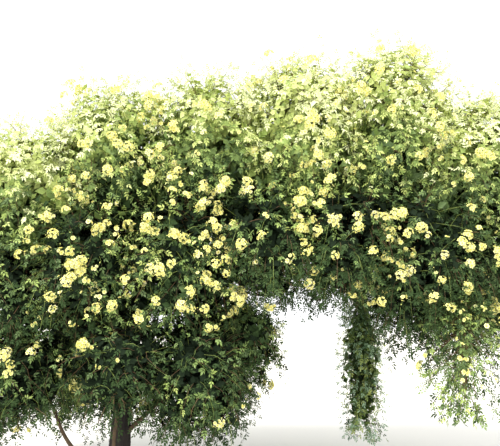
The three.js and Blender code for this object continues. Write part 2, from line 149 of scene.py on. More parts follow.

# How light the leaves are, as a place among the greens
# height and crown are painted light, under is painted shade, shade each mass's painted light and shade
TONE = Values(foot=1.9, height=1.6, crown=4.2, patch=0.8, patch_size=1.1, patch_seed=5, shade=3,
              under=1.6, spread=1.0, lowest=0.6, rise=3.9)

# Flowers, in clusters that are domes
BLOOM = Values(share=0.27, patch_size=1.3, patch_seed=9, patchiness=0.7, patches=(0.3, 2.0),
               clusters=1.65, spacing=0.2, loose=0.7, first=0.45)
SHADY_END = Values(x=-1.05, width=0.6, share=0.35)
CLUSTER = Values(small=(1, 4), large=(6, 13), small_share=0.5, hanging_small_share=0.85,
                 stalks=(0.04, 0.09), up=0.5, ahead=0.3, sway=0.2, dome=0.59, slope=1.45,
                 domes=(0.88, 1.08), tilt=0.2, sizes=(0.8, 1.2), cream_share=0.2)
FLOWER_RADIUS = 0.023
BUDS = Values(share=0.3, up=0.4, stalk=0.06, sizes=(0.012, 0.018))


def traits(slot, area=SHOOT_AREA, kept=BURIED_KEPT, crown=False, front=False, filled=False):
    """What the masses of a group share. area: for each fine shoot; kept: share of the buried ones"""
    return Values(slot=slot, area=area, kept=kept, crown=crown, front=front, filled=filled)


CROWN = traits("crown_leaves", CROWN_SHOOT_AREA, CROWN_BURIED_KEPT, crown=True, filled=True)
FRONT = traits("front_leaves", front=True)
GROUPS = {
    "crown_left": CROWN,
    "crown_right": CROWN,
    "back_crown": traits("back_crown_leaves", BACK_SHOOT_AREA, crown=True),
    "front_left": FRONT,
    "front_right": FRONT,
    "hem_front": traits("hem_leaves", front=True, filled=True),
    "hem_back": traits("hem_leaves", BACK_SHOOT_AREA, filled=True),
    "pillar": traits("pillar_leaves"),
}


def mass(name, centre, radii, shoots, group, bloom=1.0, shade=0.0, fringe=1.0, trail=1.0, crest=1.0,
         dense=True, hanging=False):
    """A space of foliage with its number of main shoots. bloom, fringe, crest: flowers, trailing and
    standing shoots beside the usual; trail: the trailing ones' length; shade: lightness added as
    painted light, and below zero as painted shade"""
    return Values(name=name, centre=np.array(centre), radii=np.array(radii), shoots=shoots,
                  group=group, kind=GROUPS[group], bloom=bloom, shade=shade, fringe=fringe,
                  trail=trail, crest=crest, dense=dense, hanging=hanging)


MASSES = [
    mass("crown_left", (-1.08, 0.42, 3.0), (0.8, 0.94, 0.86), 29, "crown_left", 0.2, 0.38, crest=0.2),
    mass("crown_left_middle", (-0.17, 0.36, 3.33), (0.76, 0.94, 0.9), 29, "crown_left", 2.1, 0.08),
    mass("crown_middle", (0.84, 0.35, 3.42), (0.78, 0.94, 0.93), 29, "crown_left", 1.9, 0.14),
    mass("crown_over_arch", (1.85, 0.35, 3.52), (0.78, 0.94, 1.0), 29, "crown_right", 1.4, 0.25,
         crest=1.5),
    mass("crown_peak", (2.8, 0.37, 3.64), (0.72, 0.94, 1.09), 30, "crown_right", 1.0, 0.35),
    mass("crown_right", (3.7, 0.45, 3.2), (0.85, 0.94, 0.98), 30, "crown_right", 0.6, 0.2, crest=1.7),
    mass("back_crown_left", (-1.0, 1.54, 2.78), (0.85, 0.83, 0.9), 20, "back_crown"),
    mass("back_crown_left_middle", (0.12, 1.58, 3.03), (0.8, 0.8, 0.96), 19, "back_crown"),
    mass("back_crown_middle", (1.28, 1.58, 3.08), (0.8, 0.8, 1.1), 19, "back_crown"),
    mass("back_crown_arch", (2.44, 1.58, 3.13), (0.8, 0.8, 1.18), 19, "back_crown"),
    mass("back_crown_right", (3.6, 1.54, 2.85), (0.88, 0.82, 1.16), 22, "back_crown"),
    mass("side_left", (-1.15, 0.2, 1.95), (0.73, 0.84, 0.85), 27, "front_left", 0.15, 0.05),
    mass("front_left", (-0.32, -0.06, 2.18), (0.68, 0.6, 0.85), 24, "front_left", 2.0),
    mass("front_middle", (0.56, -0.06, 2.25), (0.68, 0.6, 0.88), 24, "front_left", 2.4),
    mass("front_arch_left", (1.42, -0.03, 2.5), (0.66, 0.62, 0.7), 24, "front_right", 1.3, fringe=2.7),
    mass("front_arch_right", (2.23, -0.03, 2.5), (0.62, 0.62, 0.68), 24, "front_right", 1.3, fringe=2.7),
    mass("front_right", (3.05, 0.0, 2.29), (0.7, 0.64, 0.89), 24, "front_right", 1.2, -0.5, fringe=3.0,
         trail=1.4),
    mass("side_right", (3.93, 0.35, 2.25), (0.62, 0.86, 0.72), 24, "front_right", 0.5, -0.3, fringe=2.2,
         trail=1.2),
    mass("hem_left", (-1.08, 0.15, 1.13), (0.74, 0.72, 0.52), 20, "hem_front", 1.1, 0.25),
    mass("hem_front", (0.05, -0.37, 1.23), (0.6, 0.29, 0.5), 17, "hem_front", 0.25, -0.28),
    mass("hem_middle", (0.74, 0.06, 1.15), (0.6, 0.7, 0.74), 20, "hem_front", 0.15, -0.25),
    mass("arch_side", (1.24, 0.48, 1.48), (0.43, 0.52, 0.42), 19, "hem_front", 0.05, 0.3),
    mass("back_left", (-0.52, 1.48, 1.35), (1.2, 0.8, 0.93), 20, "hem_back", 0.9),
    mass("back_middle", (0.88, 1.53, 1.45), (0.64, 0.76, 1.05), 17, "hem_back", 0.9),
    mass("pillar", (2.69, 1.78, 1.09), (0.33, 0.33, 0.93), 20, "pillar", 0.05, 0.85, hanging=True),
    mass("curtain", (3.23, -0.38, 1.24), (0.43, 0.24, 0.52), 14, "front_right", 1.5, 0.15, dense=False,
         hanging=True),
]


def limb(name, carrier, at, to, radii, bow):
    """A limb from a place on its carrier to a point, or to the mass that it bears"""
    return Values(name=name, carrier=carrier, at=at, to=to, radii=radii, bow=np.array(bow))


def bough(name, carrier, at, radii, bow=(0, 0, 0.06)):
    """A limb that is named after the mass that it bears"""
    return limb("bough_" + name, carrier, at, name, radii, bow)


LIMBS = [
    limb("bough_main", "trunk", 1, (0.95, 0.64, 2.23), (0.066, 0.047), (-0.06, 0.06, 0.16)),
    limb("bough_arch", "bough_main", 1, (2.35, 0.72, 2.29), (0.047, 0.037), (0, 0.03, 0.11)),
    limb("bough_far", "bough_arch", 1, (3.23, 0.71, 2.32), (0.037, 0.028), (0, 0.01, 0.06)),
    limb("bough_left", "trunk", 0.8, "side_left", (0.04, 0.024), (0, 0.06, 0.12)),
    bough("back_left", "trunk", 0.62, (0.04, 0.024), (0.06, 0, 0.06)),
    bough("back_middle", "trunk", 0.7, (0.038, 0.024), (0, 0, 0.08)),
    bough("front_middle", "trunk", 0.9, (0.036, 0.022), (0.06, 0, -0.04)),
    bough("front_left", "trunk", 0.86, (0.036, 0.022), (-0.03, 0, 0.02)),
    limb("bough_rise_left", "trunk", 0.93, (-0.33, 0.72, 2.48), (0.046, 0.036), (-0.04, 0.12, 0.04)),
    bough("crown_left", "bough_rise_left", 0.72, (0.027, 0.018), (0.06, 0.06, 0)),
    bough("crown_left_middle", "bough_rise_left", 1, (0.034, 0.022), (0, 0.03, 0.02)),
    bough("back_crown_left", "bough_rise_left", 0.86, (0.026, 0.018)),
    bough("crown_middle", "bough_main", 0.78, (0.03, 0.02), (0, 0.08, 0)),
    bough("back_crown_left_middle", "bough_main", 0.62, (0.028, 0.02)),
    bough("back_crown_middle", "bough_arch", 0.14, (0.028, 0.02), (-0.04, 0, 0.06)),
    bough("arch_side", "bough_main", 0.84, (0.024, 0.016), (0.06, -0.03, 0.06)),
    bough("front_arch_left", "bough_arch", 0.3, (0.026, 0.018)),
    bough("crown_over_arch", "bough_arch", 0.5, (0.03, 0.02), (0.03, 0.04, 0)),
    bough("back_crown_arch", "bough_arch", 0.82, (0.028, 0.02), (0, 0, -0.03)),
    bough("front_arch_right", "bough_arch", 0.86, (0.024, 0.017)),
    bough("pillar", "bough_arch", 0.93, (0.024, 0.018), (0.04, 0.12, 0.06)),
    bough("crown_peak", "bough_far", 0.2, (0.027, 0.018), (0.03, 0.04, 0)),
    bough("front_right", "bough_far", 0.6, (0.024, 0.017)),
    bough("curtain", "bough_far", 0.78, (0.02, 0.014), (0.04, -0.16, -0.25)),
    bough("back_crown_right", "bough_far", 0.72, (0.025, 0.018), (0, 0, -0.03)),
    bough("crown_right", "bough_far", 0.9, (0.024, 0.017), (0, 0.03, 0)),
    bough("side_right", "bough_far", 1, (0.027, 0.018), (0, 0, 0)),
    limb("cane_middle", "trunk", 0.34, "hem_middle", (0.03, 0.018), (0.04, -0.02, 0.03)),
    limb("cane_left", "trunk", 0.07, "hem_left", (0.027, 0.017), (-0.15, -0.03, -0.13)),
    limb("cane_front", "trunk", 0.1, "hem_front", (0.024, 0.016), (-0.06, -0.09, -0.11)),
]


# Vectors and curves

def unit(vectors):
    return vectors / np.maximum(np.linalg.norm(vectors, axis=-1, keepdims=True), 1e-9)


def crosswise(directions):
    """Two directions square to each one given, the first one level unless the given one is steep"""
    steep = np.abs(directions[..., 2:]) > 0.8
    reference = np.where(steep, (0.0, 1.0, 0.0), UP)
    first = unit(np.cross(reference, directions))
    return first, np.cross(directions, first)


def turned(first, second, turns):
    """Directions at the given turns between two that are square to each other"""
    return first * np.cos(turns)[..., None] + second * np.sin(turns)[..., None]


def bezier(controls, t):
    """Points at t, for each curve or for all, on curves of control points along the last axis but one"""
    t = np.asarray(t, float)[..., None, None]
    while controls.shape[-2] > 1:
        controls = controls[..., :-1, :] * (1 - t) + controls[..., 1:, :] * t
    return controls[..., 0, :]


def heading_of(controls, t):
    return unit(bezier(np.diff(controls, axis=-2), t))


def draws(seed, count):
    """Numbers from 0 to 1, the same ones that the solids were made with"""
    whole = 0xFFFFFFFF
    state = seed
    numbers = []
    for _ in range(count):
        state = (state + 0x6D2B79F5) & whole
        mixed = ((state ^ (state >> 15)) * (state | 1)) & whole
        mixed ^= (mixed + (((mixed ^ (mixed >> 7)) * (mixed | 61)) & whole)) & whole
        numbers.append((mixed ^ (mixed >> 14)) / (whole + 1))
    return np.array(numbers)


def waves(points, scale, seed):
    """A smooth uneven field over space, from -1 to 1 or so"""
    rng = np.random.default_rng(seed)
    total = np.zeros(len(points))
    for octave in (1, 2, 4):
        for _ in range(3):
            turn = unit(rng.normal(size=3)) * math.tau * octave / scale
            total += np.sin(points @ turn + rng.uniform(0, math.tau)) / (octave * 3)
    return total / 0.8


# Spaces

def share_out(one, offsets):
    """How far out each point lies, as a share of the way to the space's skin"""
    return (np.abs(offsets / one.radii) ** SPACE_FULLNESS).sum(-1) ** (1 / SPACE_FULLNESS)


def part_spaces():
    for one in MASSES:
        normals = []
        offsets = []
        for other in MASSES:
            if other is one:
                continue
            way = other.centre - one.centre
            distance = np.linalg.norm(way)
            normal = way / distance
            own = 1 / share_out(one, normal)
            share = own / (own + 1 / share_out(other, normal))
            normals.append(normal)
            offsets.append(distance * share - SPACE_GAP / 2)
        one.normals = np.array(normals)
        one.offsets = np.array(offsets)


def reach_of(one, directions):
    """The ways from a mass's middle to the edge of its space and to the whole space's skin"""
    skin = 1 / share_out(one, directions)
    facing = directions @ one.normals.T
    edge = np.where(facing > 0, one.offsets / np.maximum(facing, 1e-9), np.inf)
    return np.minimum(skin, edge.min(axis=-1)), skin


def outward_of(one, points):
    """The way that the space's skin faces beside each point"""
    offset = (points - one.centre) / one.radii
    return unit(np.sign(offset) * np.abs(offset) ** (SPACE_FULLNESS - 1) / one.radii)


def buried(one, points):
    """Whether what grows at each point would be lost inside another mass"""
    beyond = points + outward_of(one, points) * BURIED_DEPTH
    lost = np.zeros(len(points), bool)
    for other in MASSES:
        if other is not one:
            lost |= share_out(other, beyond - other.centre) < BURIED_SHARE
    return lost


# Limbs

def trunk_radius(height):
    taper = TRUNK.waist + (TRUNK.tip - TRUNK.waist) * height / TRUNK.top[2]
    return taper + TRUNK.flare * np.exp(-height / TRUNK.flare_height)


def limb_end(one, start):
    if not isinstance(one.to, str):
        return np.array(one.to)
    target = next(each for each in MASSES if each.name == one.to)
    toward = UP if target.hanging else unit(start - target.centre)
    return target.centre + toward * reach_of(target, toward)[0] * ENTRY


def grow_limbs():
    half_way = (0.0, 0.0, TRUNK.top[2] / 2)
    trunk = Values(name="trunk", controls=np.array([(0.0, 0.0, 0.0), half_way, TRUNK.top]),
                   radii=(TRUNK.waist, TRUNK.tip), to=None)
    grown = {"trunk": trunk}
    for one in LIMBS:
        carrier = grown[one.carrier].controls
        start = bezier(carrier, one.at)
        heading = heading_of(carrier, one.at)
        end = limb_end(one, start)
        middle = (start + end) / 2 + one.bow
        if one.at == 1:
            first = start + heading * np.linalg.norm(end - start) * 0.25
            one.controls = np.array([start, first, middle * 0.7 + end * 0.3, end])
        else:
            one.controls = np.array([start, middle, end])
        grown[one.name] = one
    return grown


# Shoots. Each is a curve of four control points, from its carrier out through its root to its tip.

def lattice(count, turn):
    """Directions spread evenly over a ball"""
    order = np.arange(count)
    height = 1 - (2 * order + 1) / count
    angle = order * GOLDEN_ANGLE + turn
    level = np.sqrt(1 - height**2)
    return np.stack((level * np.cos(angle), level * np.sin(angle), height), -1)


def swing_aside(directions, turns):
    down = DOWN + directions * directions[:, 2:]
    aside = turned(*crosswise(directions), turns) + down * SWING_DOWN
    aside -= directions * (aside * directions).sum(-1, keepdims=True)
    return unit(aside)


def lean(directions, aside, angles):
    return directions * np.cos(angles)[:, None] + aside * np.sin(angles)[:, None]


def stem_of(one, carrier):
    heading = heading_of(carrier.controls, 1)
    start = bezier(carrier.controls, 1) + heading * SEAM
    end = one.centre + DOWN * reach_of(one, DOWN)[0] * STEM_SAG if one.hanging else one.centre
    turn = start + heading * np.linalg.norm(end - start) * 0.3
    return Values(controls=np.array([start, turn, end]),
                  radii=(carrier.radii[1], carrier.radii[1] * STEM_TAPER))


def shoot_curves(starts, roots, tips):
    """From the carrier out toward the root, then over in a low arch to the tip"""
    rise = UP * ARCH_RISE * np.linalg.norm(tips - roots, axis=-1, keepdims=True)
    bend = roots + (tips - roots) * 0.3 + rise
    return np.stack((starts, starts + (roots - starts) * 0.7, bend, tips), 1)


def main_shoots(one, index, stem):
    """The shoots that the solids' sprays stand for, at the same places"""
    skipped = CORE_DRAWS if one.dense else 0
    numbers = draws(SEED + SEED_STEP * index, skipped + 6 * one.shoots)[skipped:].reshape(-1, 6)
    directions = unit(lattice(one.shoots, index) + MAIN_JITTER * (numbers[:, :3] - 0.5))
    aside = swing_aside(directions, math.tau * numbers[:, 3])
    vary = 0.85 + 0.3 * numbers[:, 5]
    standing = (np.arange(one.shoots) % STANDING_EVERY == 0) | (not one.dense)
    headings = lean(directions, aside, np.where(standing, STANDING.swing, LYING.swing) * vary)
    reach, skin = reach_of(one, directions)
    tip_reach, tip_skin = reach_of(one, headings)
    along = 0.5 - 0.42 * directions[:, 2] if one.hanging else np.full(one.shoots, MAIN_FORK)
    root_share = np.where(standing, STANDING.root, LYING.root)
    roots = one.centre + directions * (reach * root_share)[:, None]
    tips = one.centre + headings * (tip_reach * SPRAY_REACH)[:, None]
    grows = (reach >= skin * SKIN_SHARE) & (tip_reach >= tip_skin * SKIN_SHARE)
    grows &= tips[:, 2] > GROUND_GAP
    return shoot_curves(bezier(stem.controls[None], along), roots, tips)[grows]


def nearest_starts(mains, points, kind, rng):
    """Places on the main shoots from which finer ones grow toward the points"""
    forks = bezier(mains, kind.fork)
    nearest = np.linalg.norm(points[:, None] - forks[None], axis=-1).argmin(1)
    return bezier(mains[nearest], rng.uniform(*kind.starts, len(points)))


def fine_shoots(one, index, mains, rng):
    """Finer shoots between the main ones, and which of them are buried"""
    a, b, c = one.radii
    skin_area = 4 * math.pi * (a * b + b * c + a * c) / 3
    count = round(skin_area / one.kind.area)
    directions = unit(lattice(count, index + 0.5) + rng.normal(0, FINE.jitter, (count, 3)))
    aside = swing_aside(directions, rng.uniform(0, math.tau, count))
    standing = rng.random(count) < FINE.standing
    swing = np.where(standing, STANDING.swing, LYING.swing) * rng.uniform(*FINE.swings, count)
    headings = lean(directions, aside, swing)
    reach, skin = reach_of(one, directions)
    tip_reach, tip_skin = reach_of(one, headings)
    tip_reach = np.minimum(tip_skin, tip_reach + OVERHANG)
    grows = (reach >= skin * FINE.least_reach) & (tip_reach >= tip_skin * FINE.least_tip_reach)
    roots = one.centre + directions * (reach * rng.uniform(*FINE.roots, count))[:, None]
    tips = one.centre + headings * (tip_reach * rng.uniform(*FINE.tips, count))[:, None]
    hidden = buried(one, tips)
    grows &= (tips[:, 2] > GROUND_GAP) & (~hidden | (rng.random(count) < one.kind.kept))
    roots, tips = roots[grows], tips[grows]
    return shoot_curves(nearest_starts(mains, roots, FINE, rng), roots, tips), hidden[grows]


def edge_shoots(one, mains, rng, edge, many=1.0, long=1.0):
    """Fine shoots that stand up from the top of a mass, or trail down from its underside: side 1 or -1"""
    count = round(edge.share * many * math.pi * one.radii[0] * one.radii[1] / SHOOT_AREA)
    level = rng.uniform(*EDGE.levels, count)
    turns = np.arange(count) * GOLDEN_ANGLE
    around = np.stack((np.cos(turns), np.sin(turns), np.zeros(count)), -1)
    flat = around * one.radii * np.sqrt(1 - level**2)[:, None]
    directions = unit(flat + UP * (edge.side * level * one.radii[2])[:, None])
    reach, skin = reach_of(one, directions)
    root_reach = np.minimum(skin, reach + OVERHANG * (edge.side > 0))
    roots = one.centre + directions * (root_reach * rng.uniform(*EDGE.roots, count))[:, None]
    rise = UP * edge.side * rng.uniform(*np.multiply(edge.lengths, long), (count, 1))
    tips = roots + directions * EDGE.drift + rise
    grows = (root_reach > skin * EDGE.least_reach) & (tips[:, 2] > GROUND_GAP) & inside_box(tips, 0)
    grows &= ~buried(one, tips) & ~buried(one, roots)
    roots, tips = roots[grows], tips[grows]
    return shoot_curves(nearest_starts(mains, roots, EDGE, rng), roots, tips)


def filling_shoots(one, index, mains, rng):
    """Short shoots that close the gaps inside a mass"""
    count = round(4 * math.pi * one.radii.prod() / 3 / FILLING.volume)
    directions = lattice(count, index + 0.25)
    reach = reach_of(one, directions)[0]
    spread = np.arange(count) * GOLDEN_SHARE % 1
    share = (FILLING.nearest**3 + (FILLING.farthest**3 - FILLING.nearest**3) * spread) ** (1 / 3)
    tips = one.centre + directions * (reach * share)[:, None]
    starts = nearest_starts(mains, tips, FILLING, rng)
    return shoot_curves(starts, starts + (tips - starts) * FILLING.bend, tips)


def hanging_shoots(one, index, stem, rng):
    """Short shoots all down a hanging mass, from the stem that runs through it"""
    kind = PILLAR if one.dense else CURTAIN
    skin_area = math.tau * one.radii[:2].mean() * 2 * one.radii[2]
    count = round(skin_area / kind.area)
    level = kind.highest - (kind.highest - LOWEST_LEVEL) * rng.random(count) ** kind.fall
    turns = np.arange(count) * GOLDEN_ANGLE + index
    out = np.stack((np.cos(turns), np.sin(turns), np.zeros(count)), -1)
    narrowing = np.abs(np.clip(level, -1, 1)) ** SPACE_FULLNESS * kind.rounding
    width = (1 - narrowing) ** (1 / SPACE_FULLNESS)
    reach = (width * rng.uniform(0.6, 0.98, count))[:, None] / share_out(one, out)[:, None]
    middles = one.centre + UP * (level * one.radii[2])[:, None]
    shares = np.clip((1.0 - level) / 2 * rng.uniform(0.8, 1.0, count), 0.02, 1)
    drop = PILLAR_DROP if one.dense else rng.uniform(*CURTAIN_DROPS, (count, 1))
    tips = middles + out * reach + DOWN * drop
    tips[:, 2] = np.maximum(tips[:, 2], one.centre[2] + one.radii[2] * FOOT_LEVEL)
    roots = middles + out * reach * kind.root
    return shoot_curves(bezier(stem.controls[None], shares), roots, tips)


def dealt(counts):
    """For so many things on each carrier: the carrier of each thing, and its number there"""
    owner = np.repeat(np.arange(len(counts)), counts)
    return owner, np.arange(len(owner)) - np.repeat(np.cumsum(counts) - counts, counts)


def leaf_places(curves, kind, ground, rng):
    """Places for leaves: the curve that each is on, its number, its share of the way, its point"""
    first, last = kind.span
    share = np.linspace(first, last, 5)
    points = np.stack([bezier(curves, t) for t in share], 1)
    lengths = np.linalg.norm(np.diff(points, axis=1), axis=-1).sum(-1)
    counts = np.maximum(1, np.round(lengths / kind.spacing).astype(int))
    owner, order = dealt(counts)
    place = (order + rng.uniform(0.2, 0.8, len(owner))) / counts[owner]
    share = first + (last - first) * place
    points = bezier(curves[owner], share)
    high = inside_box(points, BOX_MARGIN) & (points[:, 2] > GROUND_GAP + ground)
    return owner[high], order[high], share[high], points[high]


# Meshes

class Sheaf:
    """Triangles gathered for one piece, with the number of each one's material"""

    def __init__(self):
        self.points = []
        self.faces = []
        self.kinds = []
        self.count = 0

    def add(self, points, faces, kinds):
        """points: (copies, corners, 3); faces: (triangles, 3) within one copy; kinds: a number for all,
        one for each copy, or one for each copy and triangle"""
        copies, corners = points.shape[:2]
        if not copies:
            return
        starts = self.count + corners * np.arange(copies)
        self.points.append(points.reshape(-1, 3))
        self.faces.append((faces[None] + starts[:, None, None]).reshape(-1, 3))
        kinds = np.asarray(kinds)
        if kinds.ndim < 2:
            kinds = np.repeat(np.broadcast_to(kinds, copies), len(faces))
        self.kinds.append(kinds.reshape(-1))
        self.count += copies * corners

    def make(self, name, materials, smooth=False):
        points = np.concatenate(self.points)
        faces = np.concatenate(self.faces)
        mesh = bpy.data.meshes.new(name)
        mesh.vertices.add(len(points))
        mesh.vertices.foreach_set("co", points.astype(np.float32).ravel())
        mesh.loops.add(faces.size)
        mesh.loops.foreach_set("vertex_index", faces.astype(np.int32).ravel())
        mesh.polygons.add(len(faces))
        mesh.polygons.foreach_set("loop_start", np.arange(0, faces.size, 3, dtype=np.int32))
        mesh.polygons.foreach_set("material_index", np.concatenate(self.kinds).astype(np.int32))
        mesh.polygons.foreach_set("use_smooth", np.full(len(faces), smooth))
        for each in materials:
            mesh.materials.append(each)
        mesh.update(calc_edges=True)
        piece = bpy.data.objects.new(name, mesh)
        bpy.context.scene.collection.objects.link(piece)
        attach(piece, "root")
        return piece


def placed(template, origins, along, facing, scale):
    """Copies of a template whose X runs along and whose Z faces as given; scale: (copies, 3)"""
    side = unit(np.cross(facing, along))
    normal = np.cross(along, side)
    frames = np.stack((along, side, normal), 1)
    return origins[:, None] + np.einsum("nvk,nkj->nvj", template[None] * scale[:, None], frames)


def tube_faces(rings, sides):
    """Triangles of an open tube whose corners run ring by ring"""
    ring, side = np.divmod(np.arange((rings - 1) * sides), sides)
    a = ring * sides + side
    b = ring * sides + (side + 1) % sides
    halves = np.stack((a, b, b + sides), -1), np.stack((a, b + sides, a + sides), -1)
    return np.concatenate(halves)


def add_twigs(sheaf, curves, radii, steps, kinds):
    """Three-sided twigs along curves, each with a pointed tip. radii: at the start and toward the tip"""
    rings = []
    for share in np.arange(steps) / steps:
        first, second = crosswise(heading_of(curves, share))
        radius = radii[0] + (radii[1] - radii[0]) * share
        around = turned(first[:, None], second[:, None], THREE_TURNS)
        rings.append(bezier(curves, share)[:, None] + around * radius)
    tip = 3 * steps
    ends = np.array(((tip - 3, tip - 2, tip), (tip - 2, tip - 1, tip), (tip - 1, tip - 3, tip)))
    points = np.concatenate((*rings, curves[:, -1:]), 1)
    sheaf.add(points, np.concatenate((tube_faces(steps, 3), ends)), kinds)


# Leaves

LEAFLET = np.array(((0, 0, 0), (0.44, 0.5, 0.1), (1, 0, -0.08), (0.44, -0.5, 0.1)))
BLADE_FACES = np.array(((0, 2, 1), (0, 3, 2)))
LEAFLET_WIDTH = 0.5  # beside its length
LEAFLET_DIP = -0.18
# Where each leaflet sits on the stalk, the way it points in degrees, and its length
LEAFLETS = ((0.030, 62, 0.036), (0.030, -62, 0.036), (0.054, 50, 0.044), (0.054, -50, 0.044),
            (0.072, 0, 0.052))
STALK_HALF = 0.0011


def leaf_template(leaflets):
    """A leaf of several leaflets on one stalk, along X, facing Z"""
    end = leaflets[-1][0]
    points = [np.array(((0, -STALK_HALF, 0), (0, STALK_HALF, 0), (end, 0, 0)))]
    faces = [np.array(((0, 2, 1),))]
    count = 3
    for place, degrees, length in leaflets:
        turn = math.radians(degrees)
        along = np.array((math.cos(turn), math.sin(turn), LEAFLET_DIP))
        side = np.array((-math.sin(turn), math.cos(turn), 0))
        size = np.array((length, length * LEAFLET_WIDTH, length * LEAFLET_WIDTH))
        points.append((place, 0, 0) + (LEAFLET * size) @ np.stack((along, side, UP)))
        faces.append(BLADE_FACES + count)
        count += len(LEAFLET)
    return np.concatenate(points), np.concatenate(faces)


LEAF_FULL = leaf_template(LEAFLETS)
LEAF_SMALL = leaf_template(LEAFLETS[2:])

# Greens from the darkest to the lightest, the first ones almost without gloss, and the pillar's blues
GREENS = {"leaf_night": "1f2b1d", "leaf_deep": "384b2c", "leaf_dark": "53693a", "leaf_mid": "748b4b",
          "leaf_fresh": "95a95b", "leaf_yellow_green": "b6c370", "leaf_lime": "d0d98f",
          "leaf_pale_lime": "e6ecb8"}
DULL_GREENS = 2
BLUES = {"leaf_blue_dark": "6b8a6a", "leaf_blue": "9dbb98"}


def level_of(one, points):
    """Heights, from -1 at a mass's foot to 1 at its top"""
    return (points[:, 2] - one.centre[2]) / one.radii[2]


def crown_light(one, points):
    """Painted light, from 0 to 1 over the upper part of a crown mass, and less toward the back"""
    behind = np.clip((points[:, 1] - 0.25) / 1.0, 0, 1)
    return np.clip((level_of(one, points) + 0.65) / 0.9, 0, 1) * (1 - 0.4 * behind) * one.kind.crown


def tone_of(one, points):
    """A place among the greens: painted light higher up and on top of the crown, painted shade toward its
    foot
    """
    height = np.clip((points[:, 2] - TONE.lowest) / TONE.rise, 0, 1)
    patch = waves(points, TONE.patch_size, TONE.patch_seed)
    level = level_of(one, points)
    # Painted shade under the foot of a front mass, and on the upper part of a hanging one
    under = np.clip((level if one.hanging else -level) - 0.2, 0, 0.8) * one.kind.front
    light = TONE.foot + TONE.height * height + TONE.crown * crown_light(one, points)
    return light + TONE.patch * patch + TONE.shade * one.shade - TONE.under * under


def inside_box(points, margin):
    return ((points > BOX_FOOT + margin) & (points < BOX_TOP - margin)).all(-1)


def add_leaves(sheaf, one, curves, tones, rng):
    owner, order, share, points = leaf_places(curves, LEAF, LEAF.ground, rng)
    count = len(points)
    heading = heading_of(curves[owner], share)
    turns = order * LEAF.turn + rng.uniform(0, WHOLE_TURN, len(curves))[owner]
    around = turned(*crosswise(heading), turns)
    outward = outward_of(one, points)
    along = LEAF.ahead * heading + LEAF.aside * around + LEAF.out * outward + LEAF.drop * DOWN
    along = unit(along + rng.normal(0, LEAF.sway, points.shape))
    facing = unit(LEAF.face_up * UP + LEAF.face_out * outward + rng.normal(0, LEAF.tilt, points.shape))
    size = rng.uniform(*LEAF.scales, count) * (LEAF.first_size - LEAF.shrink * share)
    widths = rng.uniform(*LEAF.widths, count)
    scale = size[:, None] * np.stack((np.ones(count), widths, rng.uniform(*LEAF.folds, count)), -1)
    tone = tones[owner] + LEAF.brightening * (share - LEAF.even_share)
    tone = tone + rng.normal(0, LEAF.tone_spread, count)
    kinds = np.clip(np.floor(tone), 1, len(GREENS) - 1).astype(int)
    if one.group == "pillar":
        kinds = np.where(rng.random(count) < 1 - BLUE_SHARE, kinds, len(GREENS) + (tone > BLUE_TONE))
    full = rng.random(count) < LEAF.full_share
    for chosen, (template, faces) in ((full, LEAF_FULL), (~full, LEAF_SMALL)):
        copies = placed(template, points[chosen], along[chosen], facing[chosen], scale[chosen])
        sheaf.add(copies, faces, kinds[chosen])


def add_inner_leaves(sheaf, one, curves, where, rng):
    """Broad leaves in the shade of the outer ones, their colour darkened with depth as painted shade"""
    points = leaf_places(curves, where, INNER.ground, rng)[3]
    outward = outward_of(one, points)
    along = np.cross(outward, rng.normal(size=points.shape))
    along = unit(along + rng.normal(0, INNER.sway, points.shape))
    facing = unit(outward + rng.normal(0, INNER.tilt, points.shape))
    size = rng.uniform(*where.lengths, len(points))
    scale = np.stack((size, size * INNER.width, size * INNER.fold), -1)
    depth = np.maximum(0, INNER.skin - share_out(one, points - one.centre))
    if one.hanging:
        depth *= INNER.hanging_depth
    lit = crown_light(one, points)
    # Painted shade: darker deeper in, and under the crown's painted light darker at the skin but less
    # with depth
    shade = INNER.shade + INNER.lit_shade * lit + INNER.depth_shade * depth * (1 - INNER.lit_relief * lit)
    tones = tone_of(one, points) - shade + rng.normal(0, INNER.tone_spread, len(points))
    kinds = np.clip(np.floor(tones), 0, len(GREENS) - 1).astype(int)
    sheaf.add(placed(LEAFLET, points, along, facing, scale), BLADE_FACES, kinds)


# Flowers

FLOWER_COLOURS = {"petal_pale": "f3f0a8", "petal_butter": "f0e886", "petal_heart": "e8da68",
                  "petal_cream": "f8f4c0", "bud_green": "cfd27a"}
PALE, BUTTER, HEART, CREAM, BUD = range(len(FLOWER_COLOURS))

PETAL = np.array(((0, 0, 0), (0.64, 0.5, 0.06), (1, 0, 0.16), (0.64, -0.5, 0.06)))
# Each ring of petals: how many, their length and width beside the flower's radius, how far out they
# start, how steeply they rise in degrees, and their colour
PETAL_RINGS = ((6, 0.86, 0.8, 0.14, 12, PALE), (3, 0.62, 0.8, 0.08, 40, BUTTER))
CONE = Values(radius=0.26, foot=0.12, top=0.42)  # the heart, with three sides


def flower_template():
    """A double flower of radius 1 that faces Z"""
    points = []
    faces = []
    kinds = []
    count = 0
    for ring, (petals, length, width, start, rise, kind) in enumerate(PETAL_RINGS):
        tilt = math.radians(rise)
        for petal in range(petals):
            turn = math.tau * (petal + 0.5 * ring) / petals
            out = np.array((math.cos(turn), math.sin(turn), 0))
            along = out * math.cos(tilt) + UP * math.sin(tilt)
            side = np.array((-out[1], out[0], 0))
            axes = np.stack((along, side, np.cross(along, side)))
            points.append(out * start + (PETAL * (length, width, length)) @ axes)
            faces.append(BLADE_FACES + count)
            kinds += [kind] * len(BLADE_FACES)
            count += len(PETAL)
    ring = CONE.radius * np.stack((np.cos(THREE_TURNS), np.sin(THREE_TURNS)), -1)
    points += [np.column_stack((ring, [CONE.foot] * 3)), np.array(((0, 0, CONE.top),))]
    faces.append(np.array(((0, 1, 3), (1, 2, 3), (2, 0, 3))) + count)
    kinds += [HEART] * 3
    return np.concatenate(points), np.concatenate(faces), np.array(kinds)


